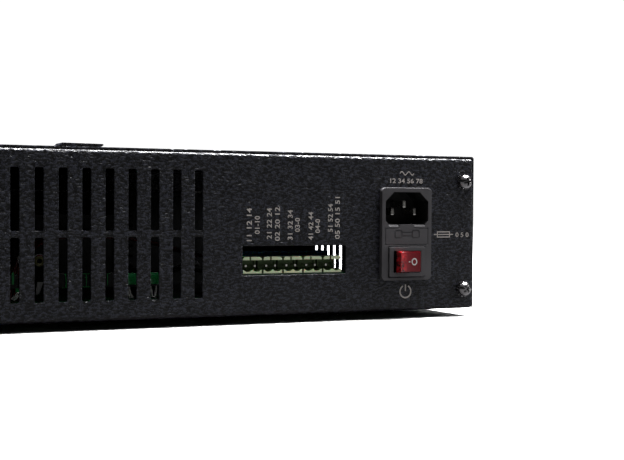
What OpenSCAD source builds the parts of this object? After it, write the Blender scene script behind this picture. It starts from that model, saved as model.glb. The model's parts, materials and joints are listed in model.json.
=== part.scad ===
// Two-unit rack-mounted DC uninterruptible power supply.
// Origin: centre of the outline, on the plane under the feet. Front panel faces -Y, rear wall faces +Y.

/* [Case] */
// Width of the case over the cover
case_w = 440; // [436:1:444]
// Height of the folded base, from its underside to its top bend
base_h = 84.5; // [84:0.1:85]
// Depth of the case, front wall to rear wall
case_d = 360; // [355:1:400]
// Thickness of the steel sheet
sheet = 1.2; // [1:0.1:1.4]
// Height of the rubber feet
foot_h = 4.5; // [3:0.5:8]

/* [Front panel] */
// Width over the rack ears
panel_w = 482.6; // [482:0.1:483]
// Height of the panel
panel_h = 88.1; // [87.5:0.1:88.9]
// Thickness of the panel
panel_t = 3; // [2.5:0.1:3.5]
// Sideways distance between the rack slots
ear_pitch_x = 465.1; // [464.5:0.1:465.5]
// Upright distance between the rack slots
ear_pitch_z = 76.2; // [75:0.1:77]
// How far the handles stand out
handle_out = 36; // [30:1:45]

/* [Rear wall] */
// Number of vent slots in each of the two rows
vent_count = 11; // [9:1:11]
// Centre-to-centre distance of the vent slots
vent_pitch = 11.56; // [11:0.01:12]
// Width of one vent slot
vent_w = 4.18; // [3:0.01:5]
// Number of alarm headers
header_count = 5; // [5]
// Centre-to-centre distance of the alarm headers
header_pitch = 11.58; // [11.5:0.01:12]

/* [Motion] */
// Angle that the rocker turns between off and on
rocker_travel = 24; // [20:1:24]
// Travel of the test button
button_travel = 1.5; // [1:0.1:2]

/* [Hidden] */
$fn = 64;
eps = 0.01;

// ---- inlet module and rocker: sizes that others depend on ----
flange_t = 3;
bezel_proud = 0.8;
rocker_half = 8.3;
rocker_proud = 0.3;
rocker_low = 3.3;
pivot_in = 4;
tilt = rocker_travel / 2;
rocker_end_h = pivot_in + rocker_proud;
// how far the raised end of the rocker stands over the pivot
rocker_raised = rocker_half * sin(rocker_travel) + rocker_end_h * cos(rocker_travel);
rear_out = flange_t + bezel_proud - pivot_in + rocker_raised;

// ---- overall places ----
total_d = handle_out + panel_t + case_d + rear_out;
panel_y = -total_d / 2 + handle_out;
front_y = panel_y + panel_t;
rear_y = front_y + case_d;
under_z = foot_h;
floor_z = under_z + sheet;
base_top = under_z + base_h;
cover_top = base_top + sheet;
cover_bottom = under_z + 0.4;
panel_mid_z = under_z + (base_h + sheet) / 2;
side_gap = 0.3;
base_w = case_w - 2 * sheet - 2 * side_gap;
bend_r = 1.8;
side_x = -case_w / 2;

// ---- rear wall features: measured from the side edge next to the inlet, and up from the underside ----
vent_first = 164.7;
vent_low_z = [10, 41.3];
vent_high_z = [44.6, 75.2];
vent_corner = 0.8;
window_side = [81.1, 140.7];
window_z = [21.1, 36.3];
inlet_side = 45.15;
inlet_z = 42.25;
screw_side = 7;
screw_z = [11.1, 71.4];
out_window_x = [104, 164];
out_window_z = [21.1, 43];
stud_x = 190;
stud_z = 16;
side_vent_pitch = 9.8;
side_vent_w = 5.2;
side_vent_first = 169;
side_vent_count = 14;

// ---- alarm headers ----
header_first = 134.65;
header_w = 10.55;
header_h = 8.7;
header_d = 12;
header_z = 21.9;
header_back = 1.4;
pin_pitch = 5.08;
pin_t = 1;
pin_z = 25.8;

// ---- boards ----
board_t = 1.6;
alarm_board_x = [-147.5, -71.5];
alarm_board_deep = [2, 84];
alarm_board_top = under_z + header_z;
alarm_holes_x = [-136.2, -75.8];
alarm_holes_deep = [8.5, 78];
power_board_x = [-64, 84];
power_board_deep = [2.5, 222];
power_board_top = under_z + 9.9;
power_holes_x = [-58, 78];
power_holes_deep = [60, 214];
m3_r = 1.5;
standoff_r = 2.9;

// ---- batteries ----
battery = [151, 94, 65];
battery_front = 24;
battery_gap = 4;

// ---- inlet module, seen from the rear: x to the right, y up, z out of the wall ----
flange = [31.1, 50.7];
flange_r = 2.4;
body = [27.3, 47];
body_deep = 24;
recess_half = 13.3;
recess_y = [5.25, 22.95];
recess_deep = 13;
recess_chamfer = [5.3, 5.1];
recess_foot = 2;
blade = [2, 4];
blade_x = 7;
blade_y = 12.35;
earth_rise = 4.1;
drawer_face = [26.2, 8.7];
drawer_y = -1.3;
drawer_face_t = 1.8;
drawer_body = [23.6, 7.2, 18];
drawer_tab_w = 9.4;
drawer_gap = 0.25;
fuse_d = 5.2;
fuse_l = 20;
fuse_cap_l = 5;
frame_size = [22.4, 16.3];
frame_y = -15.2;
frame_open = [17.1, 11.9];
frame_gap = 0.3;
rocker_t = 11.3;
pivot_r = 1.2;
pivot_fit = 0.05;

// ---- shared shapes ----

// flat rounded rectangle about the origin
module round_rect(size, r) {
    square([size[0] - 2 * r, size[1]], center = true);
    square([size[0], size[1] - 2 * r], center = true);
    for (sx = [-1, 1], sy = [-1, 1])
        translate([sx * (size[0] / 2 - r), sy * (size[1] / 2 - r)]) circle(r);
}

// box from one corner to the other
module span(x, y, z) {
    translate([x[0], y[0], z[0]]) cube([x[1] - x[0], y[1] - y[0], z[1] - z[0]]);
}

// child drawn on the rear wall: its x to the right as seen from behind, y up, z out of the wall
module on_rear(x, z) {
    translate([x, rear_y, under_z + z]) rotate([90, 0, 180]) children();
}

// child drawn on the front panel: its x to the right as seen from the front, y up, z out of the panel
module on_front(x, z) {
    translate([x, panel_y, z]) rotate([90, 0, 0]) children();
}

function ordered(a, b) = [min(a, b), max(a, b)];
function side(from_edge) = side_x + from_edge;
function deep(d) = rear_y - d;

// pan-head screw: origin under the head, head towards +z, shank towards -z
module pan_screw(r, head_r, head_h, length) {
    dome = (head_r * head_r + head_h * head_h) / (2 * head_h);
    cross_w = head_r * 0.28;
    cross_l = head_r * 1.1;
    difference() {
        union() {
            intersection() {
                translate([0, 0, head_h - dome]) sphere(dome);
                cylinder(h = head_h, r = head_r);
            }
            translate([0, 0, -length]) cylinder(h = length + eps, r = r);
        }
        for (a = [0, 90]) rotate([0, 0, a + 30])
            translate([0, 0, head_h]) cube([cross_l, cross_w, head_h * 1.1], center = true);
    }
}

// Catmull-Rom curve through a hand-placed route
function curve(p, n) = [for (i = [0 : len(p) - 2], k = [0 : n - 1])
    let (a = p[max(i - 1, 0)], b = p[i], c = p[i + 1], d = p[min(i + 2, len(p) - 1)], t = k / n)
    0.5 * (2 * b + (c - a) * t + (2 * a - 5 * b + 4 * c - d) * t * t
        + (3 * b - a - 3 * c + d) * t * t * t)];
function unit(v) = v / norm(v);

// round wire along a route; its sides are flat between rings
module wire(route, r, steps = 4, sides = 8, lean = [0.84, 0.47, 0.27]) {
    pts = concat(curve(route, steps), [route[len(route) - 1]]);
    n = len(pts);
    rings = [for (i = [0 : n - 1])
        let (t = unit(pts[min(i + 1, n - 1)] - pts[max(i - 1, 0)]), u = unit(cross(lean, t)), v = cross(t, u))
        for (k = [0 : sides - 1]) pts[i] + r * (cos(360 * k / sides) * u + sin(360 * k / sides) * v)];
    walls = [for (i = [0 : n - 2], k = [0 : sides - 1], half = [0, 1]) let (m = (k + 1) % sides)
        half == 0 ? [i * sides + k, (i + 1) * sides + k, (i + 1) * sides + m]
            : [i * sides + k, (i + 1) * sides + m, i * sides + m]];
    start = [[for (k = [0 : sides - 1]) k]];
    finish = [[for (k = [sides - 1 : -1 : 0]) (n - 1) * sides + k]];
    polyhedron(points = rings, faces = concat(walls, start, finish), convexity = 6);
}

// ---- case ----

module vent_rows(pitch, count, w, rows, corner) {
    for (i = [0 : count - 1], row = rows)
        translate([i * pitch, (row[0] + row[1]) / 2]) round_rect([w, row[1] - row[0]], corner);
}

module chassis_base() {
    color([0.07, 0.07, 0.08]) difference() {
        union() {
            // floor, rear wall and front wall folded from one sheet, with flanges at the top
            translate([-base_w / 2, (front_y + rear_y) / 2, under_z + base_h / 2]) rotate([90, 0, 90])
                linear_extrude(base_w) difference() {
                    round_rect([case_d, base_h], bend_r);
                    round_rect([case_d - 2 * sheet, base_h - 2 * sheet], bend_r - sheet);
                    translate([0, base_h / 2]) square([case_d - 32, 10], center = true);
                }
            // low side flanges that stiffen the floor
            for (s = [-1, 1])
                span(ordered(s * base_w / 2, s * (base_w / 2 - sheet)),
                    [front_y + 14, rear_y - 14], [floor_z - eps, floor_z + 6]);
        }
        // vent slots
        on_rear(side(vent_first), 0) translate([0, 0, -sheet - 1]) mirror([1, 0, 0])
            linear_extrude(sheet + 2)
                vent_rows(vent_pitch, vent_count, vent_w, [vent_low_z, vent_high_z], vent_corner);
        // window of the alarm headers
        span([side(window_side[0]), side(window_side[1])], [rear_y - 4, rear_y + 1],
            [under_z + window_z[0], under_z + window_z[1]]);
        // cut-out of the inlet module
        on_rear(side(inlet_side), inlet_z) translate([0, 0, -4])
            linear_extrude(5) square(body + [0.6, 0.6], center = true);
        // window of the output block
        span(out_window_x, [rear_y - 4, rear_y + 1], [under_z + out_window_z[0], under_z + out_window_z[1]]);
        // clearance holes of the cover screws and the earth stud
        for (s = [-1, 1], z = screw_z)
            on_rear(s * (case_w / 2 - screw_side), z) translate([0, 0, -4]) cylinder(h = 5, r = 2.2);
        on_rear(stud_x, stud_z) translate([0, 0, -4]) cylinder(h = 5, r = 2.1);
        // holes in the floor for stand-offs, feet and the battery strap
        for (x = alarm_holes_x, d = alarm_holes_deep)
            translate([x, deep(d), under_z - 1]) cylinder(h = 4, r = m3_r + 0.1);
        for (x = power_holes_x, d = power_holes_deep)
            translate([x, deep(d), under_z - 1]) cylinder(h = 4, r = m3_r + 0.1);
        for (x = foot_x, y = foot_y) translate([x, y, under_z - 1]) cylinder(h = 4, r = 2.1);
        for (s = [-1, 1]) translate([s * strap_hole_x, strap_y, under_z - 1]) cylinder(h = 4, r = 1.7);
        // holes in the front wall
        for (s = [-1, 1], z = handle_z)
            translate([s * handle_x, front_y + 3, z]) rotate([90, 0, 0]) cylinder(h = 5, r = 2.6);
        for (s = [-1, 1], z = panel_screw_z)
            translate([s * panel_screw_x, front_y + 3, z]) rotate([90, 0, 0]) cylinder(h = 5, r = 2.1);
        span(indicator_x, [front_y - 1, front_y + 3], indicator_z);
    }
}

module top_cover() {
    side_len = case_d - 1.2;
    // height of the closed outline that the two sides are cut from
    fold = 100;
    color([0.06, 0.06, 0.07]) difference() {
        union() {
            translate([0, rear_y - 0.6, cover_top - fold / 2]) rotate([90, 0, 0])
                linear_extrude(side_len) difference() {
                    round_rect([case_w, fold], 1.5);
                    round_rect([case_w - 2 * sheet, fold - 2 * sheet], 0.3);
                    translate([0, -fold / 2])
                        square([case_w + 2, 2 * (cover_bottom - cover_top + fold)], center = true);
                }
            // flanges behind the rear and front walls that take the cover screws
            for (s = [-1, 1], y = [rear_y - 2 * sheet - 0.1, front_y + sheet + 0.1])
                span(ordered(s * (case_w / 2 - sheet + eps), s * (case_w / 2 - 14)),
                    [y, y + sheet], [floor_z + 7, base_top - 4]);
        }
        // vent slots in both sides
        translate([-case_w, deep(side_vent_first), under_z]) rotate([90, 0, 90]) mirror([1, 0, 0])
            linear_extrude(2 * case_w) vent_rows(side_vent_pitch, side_vent_count, side_vent_w,
                [vent_low_z, vent_high_z], vent_corner);
        for (s = [-1, 1], z = screw_z)
            on_rear(s * (case_w / 2 - screw_side), z) translate([0, 0, -5]) cylinder(h = 5, r = 2.05);
        for (s = [-1, 1], z = handle_z)
            translate([s * handle_x, front_y + 5, z]) rotate([90, 0, 0]) cylinder(h = 8, r = 4.8);
    }
}

// flat hold-down tab lying on the rear edge of the cover, one end lifted clear
tab_side = [213.9, 235.5];
module cover_tab() {
    tab_d = 13;
    color([0.05, 0.05, 0.055]) difference() {
        translate([side(tab_side[0]), rear_y - 0.8, cover_top]) rotate([90, 0, 0]) linear_extrude(tab_d)
            polygon([[1.3, 0], [0, 0.8], [0.2, 1.5], [20.4, 1.7], [21.6, 0.6], [20.4, 0]]);
        translate([side(tab_side[0]) + 10.8, rear_y - 0.8 - tab_d / 2, cover_top + 0.8])
            cylinder(h = 3, r = 2.6);
    }
}

// ---- front ----
handle_x = 212;
handle_z = [panel_mid_z - 32, panel_mid_z + 32];
handle_r = 4;
panel_screw_x = 150;
panel_screw_z = [panel_mid_z - 34, panel_mid_z + 34];
indicator_x = [-34, 46];
indicator_z = [panel_mid_z - 10, panel_mid_z + 10];
led_x = [-24, -10, 4, 18];
led_r = 2.5;
button_x = 36;
button_r = 3.9;
button_gap = 0.3;

module front_panel() {
    color([0.06, 0.06, 0.065]) difference() {
        translate([0, panel_y + panel_t, panel_mid_z]) rotate([90, 0, 0])
            linear_extrude(panel_t) round_rect([panel_w, panel_h], 2);
        for (sx = [-1, 1], sz = [-1, 1])
            translate([sx * ear_pitch_x / 2, panel_y + panel_t + 1, panel_mid_z + sz * ear_pitch_z / 2])
                rotate([90, 0, 0]) linear_extrude(panel_t + 2) {
                    square([3.7, 6.8], center = true);
                    for (e = [-1, 1]) translate([e * 1.85, 0]) circle(3.4);
                }
        for (x = led_x) on_front(x, panel_mid_z)
            translate([0, 0, -panel_t - 1]) cylinder(h = 9, r = led_r + 0.1);
        on_front(button_x, panel_mid_z)
            translate([0, 0, -panel_t - 1]) cylinder(h = 9, r = button_r + button_gap);
        for (s = [-1, 1], z = handle_z) on_front(s * handle_x, z)
            translate([0, 0, -panel_t - 1]) cylinder(h = panel_t + 1.01, r = 2.6);
        for (s = [-1, 1], z = panel_screw_z) on_front(s * panel_screw_x, z) {
            translate([0, 0, -panel_t - 1]) cylinder(h = 9, r = 2.15);
            translate([0, 0, -1.9]) cylinder(h = 2, r = 4);
        }
    }
}

module front_panel_screws() {
    color([0.6, 0.6, 0.6]) for (s = [-1, 1], z = panel_screw_z)
        on_front(s * panel_screw_x, z) translate([0, 0, -1.9]) pan_screw(2, 3.8, 1.7, 8);
}

// bow handle: two posts and a bar joined by quarter bends
module handle(x) {
    bend = 9;
    reach = handle_out - handle_r - bend;
    rise = handle_z[1] - handle_z[0];
    color([0.12, 0.12, 0.13]) translate([x, panel_y, handle_z[0]]) difference() {
        union() {
            for (z = [0, rise]) translate([0, 0, z]) rotate([90, 0, 0]) cylinder(h = reach, r = handle_r);
            translate([0, -reach - bend, bend]) cylinder(h = rise - 2 * bend, r = handle_r);
            translate([0, -reach, bend]) rotate([0, 90, 0])
                rotate([0, 0, -90]) rotate_extrude(angle = 90) translate([bend, 0]) circle(handle_r);
            translate([0, -reach, rise - bend]) rotate([0, 90, 0])
                rotate([0, 0, 180]) rotate_extrude(angle = 90) translate([bend, 0]) circle(handle_r);
        }
        for (z = [0, rise])
            translate([0, 1, z]) rotate([90, 0, 0]) cylinder(h = 13, r = 2.05);
    }
}
module handle_left() { handle(-handle_x); }
module handle_right() { handle(handle_x); }

module handle_screws() {
    color([0.6, 0.6, 0.6]) for (s = [-1, 1], z = handle_z)
        translate([s * handle_x, front_y + sheet, z]) rotate([-90, 0, 0]) pan_screw(2, 4.2, 2.8, 13);
}

// ---- feet ----
foot_x = [-185, 185];
foot_y = [front_y + 40, rear_y - 48];
foot_r = 9;

module rubber_feet() {
    color([0.03, 0.03, 0.03]) for (x = foot_x, y = foot_y) translate([x, y, 0]) difference() {
        rotate_extrude() polygon([[0, 0], [foot_r - 1, 0], [foot_r, 1], [foot_r + 0.5, foot_h], [0, foot_h]]);
        translate([0, 0, -1]) cylinder(h = 3, r = 4.2);
        cylinder(h = 20, r = 2.1);
    }
}

module foot_screws() {
    color([0.6, 0.6, 0.6]) for (x = foot_x, y = foot_y)
        translate([x, y, 2]) rotate([180, 0, 0]) pan_screw(2, 3.6, 1.6, foot_h + 3);
}

// ---- fasteners of the case ----
washer_t = 0.9;
spring_washer_t = 1.2;
module rear_cover_screws() {
    color([0.62, 0.61, 0.6]) for (s = [-1, 1], z = screw_z)
        on_rear(s * (case_w / 2 - screw_side), z) translate([0, 0, washer_t + spring_washer_t])
            rotate([0, 0, z]) pan_screw(2, 4.05, 2.6, 9);
}

// toothed washers against the wall, each with a split spring washer on it
module rear_lock_washers() {
    color([0.7, 0.7, 0.68]) for (s = [-1, 1], z = screw_z)
        on_rear(s * (case_w / 2 - screw_side), z) {
            difference() {
                cylinder(h = washer_t, r = 4.6);
                translate([0, 0, -1]) cylinder(h = 3, r = 2.2);
                for (a = [0 : 30 : 330]) rotate([0, 0, a]) translate([4.4, 0, 0])
                    cube([1.6, 0.8, 3], center = true);
            }
            translate([0, 0, washer_t]) difference() {
                cylinder(h = spring_washer_t, r = 3.5);
                translate([0, 0, -1]) cylinder(h = 4, r = 2.2);
                translate([3, 0, 0]) rotate([30, 0, 0]) cube([3, 0.5, 6], center = true);
            }
        }
}

module bottom_screws() {
    color([0.6, 0.6, 0.6]) {
        for (x = alarm_holes_x, d = alarm_holes_deep) translate([x, deep(d), under_z]) rotate([180, 0, 0])
            pan_screw(m3_r, 2.9, 2.1, 6);
        for (x = power_holes_x, d = power_holes_deep) translate([x, deep(d), under_z]) rotate([180, 0, 0])
            pan_screw(m3_r, 2.9, 2.1, 5);
    }
}

// ---- inlet module ----
module recess_outline() {
    h = recess_half;
    y0 = recess_y[0];
    y1 = recess_y[1];
    c = recess_chamfer;
    f = recess_foot;
    polygon([[-h + f, y0], [h - f, y0], [h, y0 + f], [h, y1 - c[1]], [h - c[0], y1],
        [-h + c[0], y1], [-h, y1 - c[1]], [-h, y0 + f]]);
}

module inlet_housing() {
    bay = drawer_body + [2, 2, 2] * drawer_gap;
    lip = 1.1;
    color([0.2, 0.2, 0.21]) on_rear(side(inlet_side), inlet_z) difference() {
        union() {
            linear_extrude(flange_t) round_rect(flange, flange_r);
            translate([0, 0, -body_deep]) linear_extrude(body_deep + eps) square(body, center = true);
        }
        // socket for the mains connector, with a bevelled lower lip
        translate([0, 0, -recess_deep]) linear_extrude(40) recess_outline();
        translate([-recess_half + recess_foot, recess_y[0], flange_t]) rotate([0, 90, 0]) rotate([0, 0, 90])
            linear_extrude(2 * (recess_half - recess_foot))
                polygon([[0.5, 0.5], [-lip, 0.5], [-lip, 0], [0, -lip], [0.5, -lip]]);
        // blade slots through the floor of the socket
        for (p = [[-blade_x, blade_y], [blade_x, blade_y], [0, blade_y + earth_rise]])
            translate([p[0], p[1], -body_deep / 2 - 8]) cube([blade[0], blade[1], body_deep], center = true);
        // bay of the fuse drawer
        translate([0, drawer_y, flange_t - drawer_face_t + 5])
            cube([drawer_face[0], drawer_face[1], 10] + [2, 2, 2] * drawer_gap, center = true);
        translate([0, drawer_y, flange_t - drawer_face_t - bay[2] / 2])
            cube(bay + [0, 0, 1], center = true);
        translate([0, recess_y[0], flange_t - drawer_face_t + 5])
            cube([drawer_tab_w, 6.5, 10] + [2, 2, 2] * drawer_gap, center = true);
        // bay of the switch, right through
        translate([0, frame_y, 0]) cube([frame_size[0] + 2 * frame_gap, frame_size[1] + 2 * frame_gap, 80],
            center = true);
    }
}

module inlet_pins() {
    tip = -1;
    color([0.85, 0.84, 0.8]) on_rear(side(inlet_side), inlet_z)
        for (p = [[-blade_x, blade_y, 0], [blade_x, blade_y, 0], [0, blade_y + earth_rise, 0.8]]) {
            translate([p[0], p[1], tip + p[2]]) rotate([180, 0, 0])
                linear_extrude(recess_deep + tip + p[2] + 1) round_rect(blade, 0.6);
            translate([p[0], p[1], -body_deep / 2 - 12.5]) cube([0.8, 4 - 0.2, body_deep - 1], center = true);
        }
}

module switch_frame() {
    h = bezel_proud + flange_t;
    back = 21;
    color([0.22, 0.22, 0.23]) on_rear(side(inlet_side), inlet_z) translate([0, frame_y, 0]) difference() {
        translate([0, 0, -back]) linear_extrude(h + back) round_rect(frame_size, 0.8);
        translate([0, 0, -7]) linear_extrude(20) square(frame_open, center = true);
        // bores for the rocker's pivot pins
        translate([0, 0, h - pivot_in]) rotate([90, 0, 0])
            cylinder(h = rocker_t + 3.2, r = pivot_r + pivot_fit, center = true);
        // pocket of the lamp and slots of the contacts
        translate([-5, 0, -12]) cylinder(h = 8, r = 2.2);
        for (x = switch_tab_x, y = switch_tab_y) translate([x, y, -back]) cube([1, 5, 22], center = true);
    }
}

// face of the rocker: two flats that meet in a crease, both ends square to the wall when pressed
function turn(p, a) = [p[0] * cos(a) - p[1] * sin(a), p[0] * sin(a) + p[1] * cos(a)];
module rocker_half_outline() {
    top = turn([rocker_half, rocker_end_h], tilt);
    low = turn([rocker_half, rocker_end_h - rocker_low], tilt);
    polygon([[0, -1.6], [0, rocker_end_h], top, low, [3, -1.6]]);
}

module power_rocker() {
    color([0.75, 0.05, 0.07]) on_rear(side(inlet_side), inlet_z)
        translate([0, frame_y, flange_t + bezel_proud - pivot_in]) rotate([90, 0, 0]) {
            rotate([0, 0, -tilt]) linear_extrude(rocker_t, center = true) {
                rocker_half_outline();
                mirror([1, 0]) rocker_half_outline();
            }
            cylinder(h = rocker_t + 3, r = pivot_r, center = true);
        }
}

module switch_lamp() {
    color([0.95, 0.8, 0.7]) on_rear(side(inlet_side), inlet_z) translate([-5, frame_y, -11.5]) {
        cylinder(h = 4.6, r = 1.6);
        translate([0, 0, 4.6]) sphere(1.6);
    }
}

switch_tab_x = [-6, 6];
switch_tab_y = [-4, 4];
module switch_terminals() {
    color([0.85, 0.82, 0.7]) on_rear(side(inlet_side), inlet_z) translate([0, frame_y, 0])
        for (x = switch_tab_x, y = switch_tab_y) translate([x, y, -20.5]) cube([0.8, 4.8, 20], center = true);
}

module fuse_drawer() {
    face_back = flange_t - drawer_face_t;
    icon_w = 4.6;
    icon_x = 5.4;
    groove = 0.35;
    color([0.19, 0.19, 0.2]) on_rear(side(inlet_side), inlet_z) difference() {
        union() {
            translate([0, drawer_y, face_back]) linear_extrude(drawer_face_t) round_rect(drawer_face, 0.5);
            translate([0, recess_y[0] / 2 + 0.2, face_back + drawer_face_t / 2])
                cube([drawer_tab_w, recess_y[0] - 0.4, drawer_face_t], center = true);
            translate([0, drawer_y, face_back - drawer_body[2] / 2 + eps]) cube(drawer_body, center = true);
        }
        // troughs for the fitted fuse and the spare
        for (d = fuse_in) translate([0, drawer_y + 1.2, face_back - d])
            cube([fuse_l + 0.6, drawer_body[1], fuse_d + 0.6], center = true);
        // fuse sign sunk in the face
        translate([0, drawer_y + 1.2, flange_t - groove]) linear_extrude(1) {
            for (s = [-1, 1]) translate([s * icon_x, 0]) difference() {
                round_rect([icon_w + 0.3, icon_w], 1);
                round_rect([icon_w - 0.9, icon_w - 1.2], 0.5);
            }
            for (s = [-1, 1]) translate([0, s * 1]) square([2 * icon_x - icon_w, 0.5], center = true);
        }
    }
}

fuse_in = [5, 13.5];
module at_fuses() {
    on_rear(side(inlet_side), inlet_z) for (d = fuse_in)
        translate([0, drawer_y + 0.3, flange_t - drawer_face_t - d]) rotate([0, 90, 0]) children();
}
module fuse_tubes() {
    color([0.85, 0.9, 0.9, 0.5]) at_fuses() difference() {
        cylinder(h = fuse_l - 2 * fuse_cap_l, r = fuse_d / 2 - 0.2, center = true);
        cylinder(h = fuse_l, r = fuse_d / 2 - 0.8, center = true);
    }
}
module fuse_caps() {
    color([0.8, 0.78, 0.72]) at_fuses() for (s = [-1, 1])
        translate([0, 0, s * (fuse_l - fuse_cap_l) / 2])
            cylinder(h = fuse_cap_l, r = fuse_d / 2, center = true);
}

module spade_connectors() {
    color([0.7, 0.12, 0.1]) on_rear(side(inlet_side), inlet_z) difference() {
        for (p = spade_places) translate([p[0], p[1], p[2]]) cube([3.4, 6.6, 12], center = true);
        for (p = spade_places) translate([p[0], p[1], p[2] + 6]) cube([1, 5, 12], center = true);
    }
}
spade_places = [[0, blade_y + earth_rise, -41], [switch_tab_x[0], frame_y + switch_tab_y[0], -35.5],
    [switch_tab_x[1], frame_y + switch_tab_y[0], -35.5]];

// ---- inner wires, each held at both ends ----
function rear_point(x, y, z) = [side(inlet_side) - x, rear_y + z, under_z + inlet_z + y];
wire_floor = floor_z + 2.5;
module mains_wires() {
    color([0.35, 0.2, 0.12]) {
        wire([rear_point(6, frame_y - 4, -42), rear_point(6, frame_y - 4, -50), [-182, deep(58), 18],
            [-180, deep(70), wire_floor], [-150, deep(108), wire_floor], [-90, deep(114), wire_floor],
            [-72, deep(112), 14], [-62, deep(112), 22], [-54, deep(112), power_board_top + 5],
            [-52, deep(112), power_board_top + 0.2]], 1.2);
        wire([rear_point(-6, frame_y - 4, -42), rear_point(-6, frame_y - 4, -50), [-171, deep(58), 18],
            [-168, deep(68), wire_floor], [-142, deep(102), wire_floor], [-90, deep(108), wire_floor],
            [-72, deep(106), 14], [-62, deep(106), 22], [-54, deep(106), power_board_top + 5],
            [-52, deep(106), power_board_top + 0.2]], 1.2);
    }
}
module earth_wire() {
    color([0.45, 0.7, 0.1]) wire([rear_point(0, blade_y + earth_rise, -47.5),
        rear_point(0, blade_y + earth_rise, -54), [-186, deep(66), 56], [-204, deep(82), 40],
        [-208, deep(94), 20], [-208, deep(98), floor_z + 0.3]], 1.2);
}

// three thin wires from the signal strip to the power board, side by side
signal_wire_r = 0.7;
signal_wire_step = [1.7, -1.6, 0];
module signal_wires() {
    color([0.75, 0.1, 0.06]) for (i = [0 : 2]) {
        shift = (2 - i) * signal_wire_step;
        x0 = -120 + i * pin_pitch;
        z0 = alarm_board_top + 3;
        wire(concat([[x0, deep(46.4), z0]],
            [for (p = [[-115, 50.5, 29.8], [-104, 53, 31], [-76, 52, 34], [-40, 48, 43], [0, 42, 45],
                [20, 30, 41], [28, 20, 33], [31, 17, 24], [32, 16.5, power_board_top + 0.2]])
                [p[0], deep(p[1]), p[2]] + shift]), signal_wire_r, 3, 6, unit([0.5, -0.2, 0.85]));
    }
}

// ---- alarm side ----
module alarm_header(i) {
    x = side(header_first) - i * header_pitch;
    mid = header_h / 2;
    wall_low = 1.9;
    wall_top = 1.7;
    color([0.62, 0.75, 0.45]) on_rear(x, header_z) translate([0, 0, -header_back]) difference() {
        translate([-header_w / 2, 0, -header_d]) cube([header_w, header_h, header_d]);
        // open socket, both ends open
        translate([-header_w, wall_low, -8.4]) cube([2 * header_w, header_h - wall_low - wall_top, 10]);
        // round reliefs around each pin
        for (s = [-1, 1]) translate([s * pin_pitch / 2, pin_z - header_z, -8.4]) cylinder(h = 10, r = 3);
        // locking notches in the upper wall and the coding slot
        translate([-1.6, header_h - wall_top - 0.5, -3]) cube([0.8, 4, 4]);
        translate([3, header_h - wall_top - 3, -9.4]) cube([1.3, 3, 10]);
        for (s = [-1, 1]) translate([s * header_w / 2, header_h, -3])
            rotate([0, 0, 45]) cube([1.2, 1.2, 8], center = true);
        // channels of the pins
        for (s = [-1, 1]) translate([s * pin_pitch / 2, pin_z - header_z, -9])
            cube([pin_t, pin_t, 12], center = true);
    }
}
module alarm_header_1() { alarm_header(0); }
module alarm_header_2() { alarm_header(1); }
module alarm_header_3() { alarm_header(2); }
module alarm_header_4() { alarm_header(3); }
module alarm_header_5() { alarm_header(4); }

module header_pins() {
    reach = header_d + 1.2;
    drop = pin_z - header_z + board_t + 2;
    color([0.9, 0.9, 0.88]) for (i = [0 : header_count - 1], s = [-1, 1])
        on_rear(side(header_first) - i * header_pitch, pin_z)
        translate([s * pin_pitch / 2, 0, -header_back]) {
            translate([0, 0, -3 - (reach - 3) / 2]) cube([pin_t, pin_t, reach - 3], center = true);
            translate([0, pin_t / 2 - drop / 2, -reach - pin_t / 2 + eps])
                cube([pin_t, drop, pin_t], center = true);
        }
}

module alarm_board() {
    color([0.05, 0.3, 0.12]) difference() {
        span(alarm_board_x, [deep(alarm_board_deep[1]), deep(alarm_board_deep[0])],
            [alarm_board_top - board_t, alarm_board_top]);
        for (x = alarm_holes_x, d = alarm_holes_deep)
            translate([x, deep(d), alarm_board_top - 5]) cylinder(h = 10, r = m3_r + 0.1);
        for (i = [0 : header_count - 1], s = [-1, 1])
            translate([side(header_first) - i * header_pitch - s * pin_pitch / 2,
                deep(header_back + header_d + 1.7), alarm_board_top]) cube([1.4, 1.4, 9], center = true);
    }
}

strip_poles = 10;
strip_x0 = -145.6;
strip_deep = [36, 46];
strip_h = 10.2;
module signal_strip() {
    length = strip_poles * pin_pitch + 1;
    color([0.05, 0.12, 0.35]) difference() {
        span([strip_x0, strip_x0 + length], [deep(strip_deep[1]), deep(strip_deep[0])],
            [alarm_board_top, alarm_board_top + strip_h]);
        for (i = [0 : strip_poles - 1])
            translate([strip_x0 + 0.5 + (i + 0.5) * pin_pitch, 0, alarm_board_top]) {
            translate([0, deep(strip_deep[1]) - 1, 3]) rotate([-90, 0, 0]) cylinder(h = 6, r = 1.7);
            translate([0, deep(41), strip_h - 3]) cylinder(h = 9, r = 1.9);
            translate([0, deep(strip_deep[0]) - 0.5, strip_h - 1.2])
                rotate([-90, 0, 0]) cylinder(h = 2, r = 0.6);
        }
    }
}

relay = [10.4, 15, 15.4];
relay_x = -93.3;
relay_pitch = 12;
relay_deep = 67;
module alarm_relays() {
    color([0.05, 0.05, 0.06]) for (i = [0 : header_count - 1])
        translate([relay_x - i * relay_pitch, deep(relay_deep), alarm_board_top + relay[2] / 2])
            cube(relay, center = true);
}

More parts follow.
